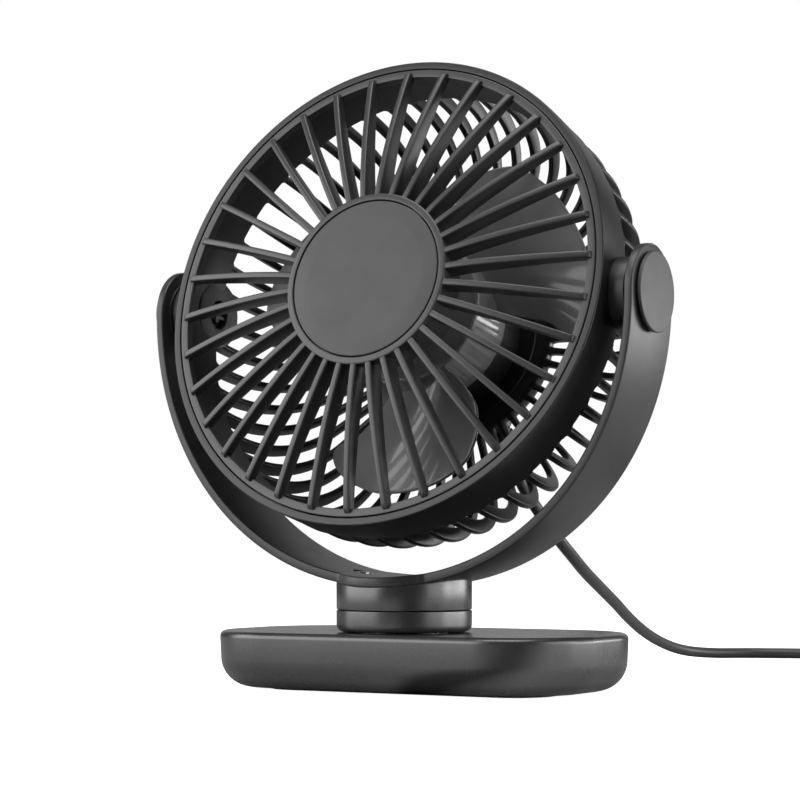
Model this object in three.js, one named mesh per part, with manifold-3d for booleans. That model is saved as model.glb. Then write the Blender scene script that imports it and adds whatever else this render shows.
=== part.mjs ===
// Tilting, swivelling desk fan on a weighted base, as separate pieces in millimetres, +Z up.
// The origin is where the swivel axis meets the surface that the fan stands on. The fan faces -Y.
import * as THREE from 'three';
import { mergeVertices } from 'three/addons/utils/BufferGeometryUtils.js';
import Module from 'manifold-3d';

const wasm = await Module();
wasm.setup();

// ---------- driving dimensions ----------
const GAP = 0.3;                // clearance between pieces that touch
const PIVOT_Z = 119.5;          // height of the tilt axis
const TILT = 15;                // degrees that the head looks up

const BASE = {
  w: 130, d: 71.6, cy: 10.5, corner: 29, bottom: 0.8, top: 18.4, underR: 9, edgeR: 2, draft: 0.8,
};
const WALL = 2.5;               // base shell wall
const PAD = { t: 1.5, inset: 16 };  // rubber pad under the base
const PLATE = { low: 1.8, high: 3.8 };  // cover of the base's underside
const BALLAST = { low: 4.2, high: 10.2, inset: 10, hole: 12 };
const POST = { x: 42, y: 18, r: 3.6, bore: 1.5 };  // screw posts inside the base

const NECK_R = 20.9;
const NECK_BOTTOM = BASE.top + GAP;
const NECK_SPLIT = 25.35;       // height of the swivel parting line
const SPIGOT = { r: 15, low: 12 };  // the neck's tail inside the base
const STEM_R = 6;               // the swivel's stem inside the spigot

const YOKE = { rx: 84.1, rz: 87, t: 2.6, tLow: 3, fullness: 2.06, w: 28.8 };
const BOSS_R = 10.8;            // pivot bosses on the arms and on the housing
const SHOULDER_R = 3.7;         // shoulder of the pivot screws
const CAP = { r: 12.1, t: 1.5, plugR: 6.2, plugL: 0.8 };
const ARM_BOSS = { from: 81, seat: 82.1, seatR: 6.6 };  // along X, with the pivot screw's seat
const HEAD_BOSS = { from: 69.3, to: 79.7, recess: 71.4, recessR: 4.6, shoulder: 72.6, threadR: 2.4 };
const PIVOT_HEAD = { r: 5.6, h: 0.9 };
const WASHER = { r: 10.2, t: 0.7 };
const YOKE_SCREW = { x: 16, seat: 35.5, r: 3.2, head: 1.1, shank: 1.5, l: 7 };

const RIM_R = 75;               // outside of the round head
const RIM_FRONT = 15.8;         // front face of the rim, ahead of the tilt axis
const WALL_REAR = -1;           // where the solid wall ends and the cage slots begin
const DUCT_R = 69.8;            // inside of the housing wall
const SEAT_R = 72.7;            // recess in the rim that the grille drops into
const SEAT_BOTTOM = 13.2;
const FINS = 52;
const FIN_W = 2;
const CAGE = { straight: 5, inR: 70, inA: 20, inB: 30, outR: 74.6, outA: 24.6, outB: 33, fullness: 0.88 };
const DISC_R = 34;              // solid disc in the middle of the cage's back
const DISC_FRONT = -35;
const DISC_REAR = -38;

const RIBS = 34;
const RIB_W = 1.9;
const RIB_OUT = 71.3;
const HUB_R = 27.3;             // hub ring of the front grille
const BADGE_R = 24.9;
const HUB_FRONT = 24.8;
const DOME = { in: 24.4, out: 16.9, power: 1.62 };  // how far the ribs stand ahead of the axis

const BLADES = 3;
const BLADE_FIRST = -89;        // direction of the first blade's middle, degrees
const BLADE_T = 1.5;
const BLADE_MID = -12;          // blade middle, behind the tilt axis
const BLADE_RISE = 8.5;         // how far each blade edge stands ahead of or behind its middle
const SPINNER = { r: 24, front: -3.5, rear: -22.5, wall: 1.8 };
const SHAFT_R = 1.15;

const MOTOR_SCREWS = [[-9.5, 16.8], [9.5, 16.8]];
const COVER = { r: 30.4, rear: -48.5, wall: 1.8, screwsAt: 25.4 };
const BUTTON_R = 7;

const CORD_D = 4;
const COIL = { x: 96, y: 206, z: 1, inR: 11.5, outR: 31.6, h: 7.4, slope: 2 };
const STRAP_T = 0.7;
const PLUG = { x: 123.6, y: 172, z: 3.8, w: 15, t: 7.6, l: 17, relief: 4.8 };
const SHELL = { w: 12, t: 4.5, l: 12.5, wall: 0.35 };

// ---------- materials ----------
const finish = (color, roughness, metalness = 0) =>
  new THREE.MeshStandardMaterial({ color, roughness, metalness });
const SATIN = finish(0x3c3c3d, 0.45);
const GRILLE = finish(0x48484a, 0.5);
const MID_GREY = finish(0x58585a, 0.5);
const SMOKED = finish(0x77787a, 0.15);
const BLACK = finish(0x141414, 0.6);
const RUBBER = finish(0x1a1a1a, 0.85);
const STEEL = finish(0xb4b6b8, 0.3, 1);
const BRASS = finish(0xb08d4a, 0.35, 1);
const COPPER = finish(0xa8623a, 0.4, 1);
const NYLON = finish(0xd8d6cf, 0.5);
const BOARD = finish(0x2f5f3a, 0.6);
const CORD = finish(0x2b2b2c, 0.6);

// ---------- solids ----------
function solid(geometry) {
  const g = geometry.clone();
  g.deleteAttribute('normal');
  g.deleteAttribute('uv');
  const merged = mergeVertices(g, 1e-4);
  const index = Array.from(merged.index.array);
  const tri = [];
  for (let i = 0; i < index.length; i += 3) {
    const [a, b, c] = index.slice(i, i + 3);
    if (a !== b && b !== c && c !== a) tri.push(a, b, c);
  }
  const make = (list) => new wasm.Manifold(new wasm.Mesh({
    numProp: 3,
    vertProperties: Float32Array.from(merged.attributes.position.array),
    triVerts: Uint32Array.from(list),
  }));
  const shape = make(tri);
  if (shape.volume() > 0) return shape;
  return make(tri.reverse());
}

const cut = (body, ...tools) => tools.reduce((left, tool) => left.subtract(tool), body);
const join = (...bodies) => bodies.reduce((sum, body) => sum.add(body));

function toGeometry(shape) {
  const mesh = shape.getMesh();
  const count = mesh.vertProperties.length / mesh.numProp;
  const position = new Float32Array(count * 3);
  for (let i = 0; i < count; i += 1) {
    for (let k = 0; k < 3; k += 1) position[3 * i + k] = mesh.vertProperties[mesh.numProp * i + k];
  }
  const g = new THREE.BufferGeometry();
  g.setAttribute('position', new THREE.BufferAttribute(position, 3));
  g.setIndex(Array.from(mesh.triVerts));
  g.computeVertexNormals();
  return g;
}

function add(parent, name, shape, material) {
  const mesh = new THREE.Mesh(toGeometry(shape), material);
  mesh.name = name;
  parent.add(mesh);
  return mesh;
}

// A round piece about local Y from a closed outline of [radius, height along Y].
function turned(outline, segments = 32) {
  const points = outline.map(([r, y]) => new THREE.Vector2(r, y));
  const onAxis = outline[0][0] === 0 && outline[outline.length - 1][0] === 0;
  if (!onAxis) points.push(points[0].clone());
  return new THREE.LatheGeometry(points, segments);
}
// The same piece with its axis along Z, along X, or seen from behind the head (height counts forwards).
const upright = (outline, segments) => turned(outline, segments).rotateX(Math.PI / 2);
const sideways = (outline, segments) => turned(outline, segments).rotateZ(-Math.PI / 2);
const facing = (outline, segments) => turned(outline.map(([r, s]) => [r, -s]), segments);

const rodOutline = (r, lo, hi) => [[0, lo], [r, lo], [r, hi], [0, hi]];
const tubeOutline = (inner, outer, lo, hi) => [[inner, lo], [outer, lo], [outer, hi], [inner, hi]];
const rodZ = (r, lo, hi, segments = 24) => solid(upright(rodOutline(r, lo, hi), segments));
const rodX = (r, lo, hi, segments = 24) => solid(sideways(rodOutline(r, lo, hi), segments));
const rodHead = (r, lo, hi, segments = 24) => solid(facing(rodOutline(r, lo, hi), segments));

// Skins a stack of outlines that all have the same number of points, and closes both ends.
function loft(loops) {
  const n = loops[0].length;
  const position = [];
  loops.forEach((loop) => loop.forEach((p) => position.push(p.x, p.y, p.z)));
  const index = [];
  for (let k = 0; k < loops.length - 1; k += 1) {
    for (let i = 0; i < n; i += 1) {
      const a = k * n + i;
      const b = k * n + ((i + 1) % n);
      index.push(a, b, b + n, a, b + n, a + n);
    }
  }
  const last = (loops.length - 1) * n;
  for (let i = 1; i < n - 1; i += 1) {
    index.push(0, i + 1, i);
    index.push(last, last + i, last + i + 1);
  }
  const g = new THREE.BufferGeometry();
  g.setAttribute('position', new THREE.Float32BufferAttribute(position, 3));
  g.setIndex(index);
  return g;
}

// A slab with a rounded-rectangle plan, whose edge follows layers of [inset, height].
function slab(layers, { w, d, corner, cy } = BASE, steps = 5) {
  const signs = [[1, 1], [-1, 1], [-1, -1], [1, -1]];
  return solid(loft(layers.map(([inset, z]) => {
    const r = corner - inset;
    const loop = [];
    signs.forEach(([sx, sy], quarter) => {
      for (let i = 0; i <= steps; i += 1) {
        const a = (quarter + i / steps) * Math.PI / 2;
        loop.push(new THREE.Vector3(
          sx * (w / 2 - corner) + r * Math.cos(a), cy + sy * (d / 2 - corner) + r * Math.sin(a), z));
      }
    });
    return loop;
  })));
}

// Headed fasteners. The head lies above the shank: [head radius, head height, shank radius, length].
const screwOutline = (headR, headH, shankR, length) => [
  [0, -headH - length], [shankR, -headH - length], [shankR, -headH], [headR, -headH], [headR, -headH * 0.3],
  [headR * 0.85, 0], [headR * 0.45, 0], [headR * 0.45, -headH * 0.4], [0, -headH * 0.4]];

// ---------- base ----------
// Layers of [inset, height]: a large radius below, slightly drafted sides and a small radius above.
function baseSides() {
  const leaning = (inset, z) => [inset + BASE.draft * (BASE.top - z) / (BASE.top - BASE.bottom), z];
  const layers = [];
  for (let i = 0; i <= 4; i += 1) {
    const a = i / 4 * Math.PI / 2;
    layers.push(leaning(BASE.underR * (1 - Math.sin(a)), BASE.bottom + BASE.underR * (1 - Math.cos(a))));
  }
  for (let i = 0; i <= 2; i += 1) {
    const a = i / 2 * Math.PI / 2;
    layers.push(leaning(BASE.edgeR * (1 - Math.cos(a)), BASE.top - BASE.edgeR * (1 - Math.sin(a))));
  }
  return layers;
}

function buildBase(root) {
  const posts = [[-1, -1], [1, -1], [1, 1], [-1, 1]]
    .map(([sx, sy]) => [sx * POST.x, BASE.cy + sy * POST.y]);
  const ceiling = BASE.top - WALL;
  const lipInset = BASE.underR + WALL;
  const cavity = slab([[lipInset, BASE.bottom - 1], [lipInset, BASE.bottom + 1],
    [WALL + 1.5, BASE.bottom + BASE.underR], [WALL, ceiling]]);
  let shell = cut(slab(baseSides()), cavity, rodZ(SPIGOT.r + GAP, ceiling - 1, BASE.top + 1));
  const postFoot = PLATE.high + GAP;
  posts.forEach(([x, y]) => {
    const post = cut(rodZ(POST.r, postFoot, ceiling + 0.5, 10), rodZ(POST.bore, postFoot - 0.1, 14, 8));
    shell = shell.add(post.translate([x, y, 0]));
  });
  add(root, 'base_shell', shell, SATIN);

  const plateInset = lipInset + 0.4;
  let plate = slab([[plateInset, PLATE.low], [plateInset, PLATE.high]]);
  let weight = slab([[BALLAST.inset, BALLAST.low], [BALLAST.inset, BALLAST.high]]);
  weight = weight.subtract(rodZ(BALLAST.hole, BALLAST.low - 1, BALLAST.high + 1));
  posts.forEach(([x, y], i) => {
    const holes = join(rodZ(1.6, PLATE.low - 1, PLATE.high + 1, 8),
      rodZ(3.3, PLATE.low - 1, PLATE.low + 1, 8));
    plate = plate.subtract(holes.translate([x, y, 0]));
    const around = rodZ(POST.r + 0.5, BALLAST.low - 1, BALLAST.high + 1, 10);
    weight = weight.subtract(around.translate([x, y, 0]));
    const screw = solid(upright(screwOutline(2.9, 0.8, 1.2, 7), 10).rotateX(Math.PI));
    add(root, `base_screw_${i + 1}`, screw.translate([x, y, PLATE.low + 0.05]), STEEL);
  });
  add(root, 'base_plate', plate, BLACK);
  add(root, 'base_weight', weight, STEEL);
  add(root, 'rubber_pad', slab([[PAD.inset, 0], [PAD.inset, PAD.t]]), RUBBER);

  const splitLow = NECK_SPLIT - GAP / 2;
  add(root, 'neck_lower', solid(upright([
    [STEM_R + GAP, SPIGOT.low], [SPIGOT.r, SPIGOT.low], [SPIGOT.r, NECK_BOTTOM], [NECK_R - 2, NECK_BOTTOM],
    [NECK_R - 0.6, NECK_BOTTOM + 0.6], [NECK_R, NECK_BOTTOM + 2], [NECK_R, splitLow],
    [STEM_R + GAP, splitLow]], 32)), SATIN);
  const nut = tubeOutline(SPIGOT.r + GAP, SPIGOT.r + 3.4, SPIGOT.low + 0.1, ceiling - GAP);
  add(root, 'collar_nut', solid(upright(nut, 24)), BLACK);
  const wave = tubeOutline(STEM_R + 0.6, 10, SPIGOT.low - 1, SPIGOT.low - GAP);
  add(root, 'wave_washer', solid(upright(wave, 24)), STEEL);
}

// ---------- yoke ----------
// The band's side view: half a slightly full ellipse below the pivots, with straight arms above them.
function bandOutline(rx, rz, top, steps = 26) {
  const points = [[rx, top]];
  for (let i = 0; i <= steps; i += 1) {
    const a = -Math.PI * i / steps;
    const swell = (v) => Math.sign(v) * Math.abs(v) ** (2 / YOKE.fullness);
    points.push([rx * swell(Math.cos(a)), PIVOT_Z + rz * swell(Math.sin(a))]);
  }
  points.push([-rx, top]);
  return points;
}

function extrudedAlongY(points, width) {
  const shape = new THREE.Shape(points.map(([x, z]) => new THREE.Vector2(x, z)));
  return new THREE.ExtrudeGeometry(shape, { depth: width, bevelEnabled: false })
    .translate(0, 0, -width / 2).rotateX(Math.PI / 2);
}

function band(outer, inner, width) {
  const top = PIVOT_Z + YOKE.w / 2 + 1;
  const back = bandOutline(inner.rx, inner.rz, top).reverse();
  const points = [...bandOutline(outer.rx, outer.rz, top), ...back];
  return solid(extrudedAlongY(points, width));
}

function buildYoke(root) {
  const outer = { rx: YOKE.rx, rz: YOKE.rz };
  const inner = { rx: YOKE.rx - YOKE.t, rz: YOKE.rz - YOKE.tLow };
  const below = { rx: YOKE.rx + GAP, rz: YOKE.rz + GAP };
  const armTop = new THREE.Shape();
  armTop.moveTo(-YOKE.w / 2, 0);
  armTop.lineTo(YOKE.w / 2, 0);
  armTop.lineTo(YOKE.w / 2, PIVOT_Z);
  armTop.absarc(0, PIVOT_Z, YOKE.w / 2, 0, Math.PI, false);
  const trim = new THREE.ExtrudeGeometry(armTop, { depth: 200, bevelEnabled: false, curveSegments: 10 })
    .translate(0, 0, -100).rotateX(Math.PI / 2).rotateZ(Math.PI / 2);
  const pad = band(outer, inner, 2 * NECK_R + 2).intersect(rodZ(NECK_R, 20, 50, 32));
  let yoke = join(band(outer, inner, YOKE.w).intersect(solid(trim)), pad);

  const capBack = YOKE.rx + GAP;
  const capFace = capBack + CAP.t;
  [-1, 1].forEach((side) => {
    const atPivot = (shape) => (side > 0 ? shape : shape.mirror([1, 0, 0])).translate([0, 0, PIVOT_Z]);
    const atScrew = (shape) => shape.translate([side * YOKE_SCREW.x, 0, 0]);
    yoke = yoke.add(atPivot(rodX(BOSS_R, ARM_BOSS.from, YOKE.rx - 1)));
    yoke = cut(yoke, atPivot(rodX(SHOULDER_R + GAP, ARM_BOSS.from - 1, YOKE.rx + 1)),
      atPivot(rodX(ARM_BOSS.seatR, ARM_BOSS.seat, YOKE.rx + 1)));
    yoke = cut(yoke, atScrew(rodZ(YOKE_SCREW.shank + GAP, 30, 40, 8)),
      atScrew(rodZ(YOKE_SCREW.r + 0.4, YOKE_SCREW.seat, 40, 12)));
    const name = side > 0 ? 'right' : 'left';
    add(root, `pivot_cap_${name}`, atPivot(solid(sideways([
      [0, capBack - CAP.plugL], [CAP.plugR, capBack - CAP.plugL], [CAP.plugR, capBack], [CAP.r, capBack],
      [CAP.r, capFace - 0.6], [CAP.r - 0.6, capFace], [0, capFace]], 28))), MID_GREY);
    const { r, head: headH, shank, l } = YOKE_SCREW;
    const screw = solid(upright(screwOutline(r, headH, shank, l), 10));
    add(root, `yoke_screw_${name}`, atScrew(screw.translate([0, 0, YOKE_SCREW.seat + GAP + headH])), STEEL);
  });
  add(root, 'yoke', yoke, SATIN);

  const under = solid(extrudedAlongY(bandOutline(below.rx, below.rz, 160), 2 * NECK_R + 4));
  const splitHigh = NECK_SPLIT + GAP / 2;
  const post = solid(upright([[0, 13], [STEM_R, 13], [STEM_R, splitHigh], [NECK_R, splitHigh],
    [NECK_R, 40], [0, 40]], 32));
  const screwHoles = [-1, 1].map((side) => 
    rodZ(YOKE_SCREW.shank + GAP, 27, 38, 8).translate([side * YOKE_SCREW.x, 0, 0]));
  add(root, 'neck_upper', cut(post, under, rodZ(2.3, 12, 25, 12), ...screwHoles), SATIN);
  add(root, 'swivel_washer', solid(upright(tubeOutline(2.4, 10, 9.4, 10.7), 24)), STEEL);
  const swivelScrew = solid(upright(screwOutline(4.2, 2.2, 2, 14), 14).rotateX(Math.PI));
  add(root, 'swivel_screw', swivelScrew.translate([0, 0, 6.9]), STEEL);
}

// ---------- head ----------
// A bar between an inner and an outer edge, both [radius, distance ahead of the axis], at an angle.
function radialBar(stations, angle, width) {
  const out = new THREE.Vector3(Math.cos(angle), 0, Math.sin(angle));
  const along = new THREE.Vector3(-Math.sin(angle), 0, Math.cos(angle));
  const corner = ([r, s], side) => out.clone().multiplyScalar(r)
    .addScaledVector(along, side * width / 2).add(new THREE.Vector3(0, -s, 0));
  return solid(loft(stations.map(([a, b]) => [corner(a, -1), corner(a, 1), corner(b, 1), corner(b, -1)])));
}

function finStations() {
  const stations = [1, -CAGE.straight].map((s) => [[CAGE.inR, s], [CAGE.outR, s]]);
  for (let i = 1; i <= 3; i += 1) {
    const across = Math.max(0, Math.cos(i / 3 * Math.PI / 2)) ** CAGE.fullness;
    const back = Math.sin(i / 3 * Math.PI / 2) ** CAGE.fullness;
    const at = (R, A, B) => [R - A + A * across, -CAGE.straight - B * back];
    stations.push([at(CAGE.inR, CAGE.inA, CAGE.inB), at(CAGE.outR, CAGE.outA, CAGE.outB)]);
  }
  stations.push([[DISC_R - 2, DISC_FRONT], [DISC_R - 2, DISC_REAR]]);
  return stations;
}

function buildRearHousing(head) {
  const wall = solid(facing([[DUCT_R, WALL_REAR], [RIM_R - 0.4, WALL_REAR], [RIM_R, 14],
    [RIM_R, RIM_FRONT - 0.5], [RIM_R - 0.5, RIM_FRONT], [SEAT_R, RIM_FRONT],
    [SEAT_R, SEAT_BOTTOM], [DUCT_R, SEAT_BOTTOM]], FINS));
  const disc = solid(facing(tubeOutline(3, DISC_R + 0.4, DISC_REAR, DISC_FRONT), FINS));
  const fins = [];
  for (let i = 0; i < FINS; i += 1) fins.push(radialBar(finStations(), i / FINS * 2 * Math.PI, FIN_W));
  let housing = join(wall, disc, wasm.Manifold.union(fins));
  const { from, to, recess, recessR, shoulder, threadR } = HEAD_BOSS;
  const bore = join(rodX(threadR + GAP, 60, 80, 12), rodX(SHOULDER_R + GAP, shoulder, 80, 16),
    rodX(recessR, 60, recess, 20));
  [-1, 1].forEach((side) => {
    const turn = (shape) => (side > 0 ? shape : shape.mirror([1, 0, 0]));
    housing = housing.add(turn(rodX(BOSS_R, from, to))).subtract(turn(bore));
  });
  const ports = [...MOTOR_SCREWS, [0, -20]].map(([x, z]) =>
    rodHead(1.7, DISC_REAR - 1, DISC_FRONT + 1, 8).translate([x, 0, z]));
  add(head, 'rear_housing', cut(housing, ...ports), SATIN);
}

function buildGrille(head) {
  const rise = (r) => DOME.out + (DOME.in - DOME.out)
    * (1 - Math.max(0, (r - HUB_R) / (RIB_OUT - HUB_R)) ** DOME.power);
  const ring = solid(facing(tubeOutline(DUCT_R, SEAT_R - GAP, SEAT_BOTTOM + GAP, RIM_FRONT), 2 * RIBS));
  const hub = solid(facing([[0, 20], [23, 20], [23.2, 9.6], [24.6, 9.6], [HUB_R, 22],
    [HUB_R, HUB_FRONT - 0.4], [HUB_R - 0.4, HUB_FRONT], [BADGE_R + GAP, HUB_FRONT],
    [BADGE_R + GAP, 22], [0, 22]], RIBS));
  const radii = [26, 41, 57, RIB_OUT];
  const ribs = [];
  for (let i = 0; i < RIBS; i += 1) {
    const stations = radii.map((r) => {
      const depth = 3.2 + 4.3 * (RIB_OUT - r) / (RIB_OUT - HUB_R);
      return [[r, rise(r) - depth], [r, rise(r)]];
    });
    ribs.push(radialBar(stations, (i + 0.5) / RIBS * 2 * Math.PI, RIB_W));
  }
  add(head, 'front_grille', join(ring, hub, wasm.Manifold.union(ribs)), GRILLE);
  add(head, 'hub_badge', solid(facing([[0, 22 + GAP], [BADGE_R, 22 + GAP], [BADGE_R, HUB_FRONT - 0.2],
    [BADGE_R - 0.5, HUB_FRONT + 0.2], [0, HUB_FRONT + 0.4]], RIBS)), GRILLE);
}

function buildMotor(head) {
  const bracket = solid(facing([[14.6, -31], [14.6, DISC_FRONT + GAP], [23, DISC_FRONT + GAP], [23, -24],
    [21.5, -23.2], [16, -23.2], [16, -31]], 32));
  const threads = MOTOR_SCREWS.map(([x, z]) => rodHead(1.6, -36, -32, 8).translate([x, 0, z]));
  add(head, 'motor_bracket', cut(bracket, ...threads), BLACK);
  add(head, 'motor_can', solid(facing([[12.8, -32], [14.2, -32], [14.2, -9.8], [12.6, -8.4], [5, -8.4],
    [5, -7], [1.5, -7], [1.5, -9.8], [12.8, -9.8]], 24)), STEEL);
  add(head, 'motor_winding', solid(facing(tubeOutline(4, 12.4, -29, -12), 20)), COPPER);
  add(head, 'motor_end_cap', solid(facing(rodOutline(12, DISC_FRONT + GAP, -32.3), 24)), NYLON);
  add(head, 'front_bearing', solid(facing(tubeOutline(SHAFT_R + 0.2, 3.2, -6.7, -5.8), 16)), BRASS);
  MOTOR_SCREWS.forEach(([x, z], i) => {
    const screw = solid(facing(screwOutline(2.6, 1, 1.3, 4), 10).rotateX(Math.PI));
    add(head, `motor_screw_${i + 1}`, screw.translate([x, -DISC_REAR + 1.3, z]), STEEL);
  });
}

function buildCover(head) {
  const reliefAt = new THREE.Vector3(14.2, 44, -25.1);
  const reliefAim = new THREE.Vector3(0.15, 0.62, -0.77).normalize();
  const aimed = (outline, segments) => turned(outline, segments)
    .applyQuaternion(new THREE.Quaternion().setFromUnitVectors(new THREE.Vector3(0, 1, 0), reliefAim))
    .translate(reliefAt.x, reliefAt.y, reliefAt.z);
  const front = DISC_REAR - GAP;
  const shell = solid(facing([[COVER.r - COVER.wall, front], [COVER.r, front], [COVER.r, -43.5],
    [COVER.r - 1.5, -46.8], [COVER.r - 5, COVER.rear], [0, COVER.rear], [0, COVER.rear + COVER.wall],
    [COVER.r - 6, COVER.rear + COVER.wall], [COVER.r - COVER.wall - 1.2, -44.5]].reverse(), 32));
  let cover = cut(shell, rodHead(BUTTON_R + GAP, COVER.rear - 2, COVER.rear + 4));
  for (let i = 0; i < 3; i += 1) {
    const a = (90 + 120 * i) * Math.PI / 180;
    const at = [COVER.screwsAt * Math.cos(a), 0, COVER.screwsAt * Math.sin(a)];
    const boss = cut(rodHead(3.2, COVER.rear + 1, front, 12), rodHead(1.3, -46.5, front + 1, 8));
    cover = cover.add(boss.translate(at));
    cover = cut(cover, rodHead(2.4, COVER.rear - 1, -47, 8).translate(at));
  }
  cover = cut(cover, solid(aimed(rodOutline(4 + GAP, -6, 20), 12)));
  add(head, 'rear_cover', cover, SATIN);
  const boot = [[0, -2.5], [3.9, -2.5], [3.9, 1], [3.4, 3], [2.7, 14], [0, 14]];
  add(head, 'cord_relief', solid(aimed(boot, 12)), CORD);
  add(head, 'circuit_board', rodHead(21, -42.6, -41), BOARD);
  add(head, 'tact_switch', solid(new THREE.BoxGeometry(6, 2.4, 6).translate(0, 44.1, 0)), BLACK);
  return solid(facing([[0, -46.2], [3, -46.2], [3, -47.9], [BUTTON_R, -47.9], [BUTTON_R, -49.3],
    [BUTTON_R - 0.6, -49.9], [0, -49.9]], 24));
}

function buildPivots(head) {
  const { to, shoulder, threadR } = HEAD_BOSS;
  const threadEnd = HEAD_BOSS.recess - 0.9;
  [-1, 1].forEach((side) => {
    const turn = (shape) => (side > 0 ? shape : shape.mirror([1, 0, 0]));
    const name = side > 0 ? 'right' : 'left';
    const seat = ARM_BOSS.seat + GAP;
    const headEnd = seat + PIVOT_HEAD.h;
    const screw = solid(sideways([[0, threadEnd], [threadR, threadEnd], [threadR, shoulder + GAP],
      [SHOULDER_R, shoulder + GAP], [SHOULDER_R, seat], [PIVOT_HEAD.r, seat], [PIVOT_HEAD.r, headEnd - 0.3],
      [PIVOT_HEAD.r - 0.3, headEnd], [2, headEnd], [2, headEnd - 0.5], [0, headEnd - 0.5]], 14));
    add(head, `pivot_screw_${name}`, turn(screw), BLACK);
    const washer = solid(sideways(
      tubeOutline(SHOULDER_R + GAP, WASHER.r, to + GAP, to + GAP + WASHER.t), 24));
    add(head, `friction_washer_${name}`, turn(washer), BLACK);
  });
}

// ---------- impeller ----------
// Half the angle that a blade covers at each radius: [radius, lower edge, upper edge] in degrees.
const BLADE_OUTLINE = [[23.2, -26, 36], [30, -29, 40], [41, -32.5, 40], [48, -38.5, 36],
  [52.5, -38, 31], [55.5, -25, 26], [57.3, -12, 16]];

function blade(middle) {
  const steps = 5;
  const grid = (lift) => BLADE_OUTLINE.map(([r, lo, hi]) => {
    const row = [];
    for (let i = 0; i <= steps; i += 1) {
      const rel = lo + (hi - lo) * i / steps;
      const a = (middle + rel) * Math.PI / 180;
      const s = BLADE_MID + BLADE_RISE * rel / 38 + lift;
      row.push(new THREE.Vector3(r * Math.cos(a), -s, r * Math.sin(a)));
    }
    return row;
  });
  const front = grid(BLADE_T / 2);
  const rear = grid(-BLADE_T / 2);
  return solid(loft(front.map((row, k) => [...row, ...rear[k].slice().reverse()])));
}

function buildImpeller(head) {
  const { r, front, rear, wall } = SPINNER;
  const cup = solid(facing([[SHAFT_R + 0.25, front - wall], [r - wall, front - wall], [r - wall, rear],
    [r, rear], [r, front - 0.8], [r - 0.8, front], [16, front], [15, front + 1],
    [SHAFT_R + 0.25, front + 1]], 36));
  const blades = [];
  for (let i = 0; i < BLADES; i += 1) blades.push(blade(BLADE_FIRST + 360 * i / BLADES));
  const clear = rodHead(r - wall / 2, rear - 2, front + 2, 36);
  const shape = join(cup, ...blades.map((b) => b.subtract(clear)));
  add(head, 'impeller', shape, SMOKED);
  add(head, 'motor_shaft', rodHead(SHAFT_R, -31, front + 0.6, 12), STEEL);
}

// ---------- cord and plug ----------
const CORD_ROUTE = [[16.35, 41.66, 70.95], [18.3, 44.9, 63.6], [21.1, 50.1, 55.8], [23.4, 58.5, 47.6],
  [23, 70, 41.6], [20.6, 85, 36], [16.5, 105, 30.4], [11.5, 128, 24.4], [6, 152, 18], [1.5, 176, 12],
  [-1, 198, 7.2], [-0.6, 216, 4], [4, 231.5, 2.5], [14.5, 243.5, 2.2], [30, 249.5, 2.2], [47, 250, 2.3], [62, 247.3, 2.4],
  [73, 243.3, 2.6], [82, 239.4, 2.8]];

function tube(points, steps) {
  const path = new THREE.CatmullRomCurve3(points.map((p) => new THREE.Vector3(...p)), false, 'centripetal');
  const section = new THREE.Shape();
  section.absarc(0, 0, CORD_D / 2, 0, 2 * Math.PI, false);
  return solid(new THREE.ExtrudeGeometry(section, { steps, extrudePath: path, curveSegments: 4 }));
}

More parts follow.
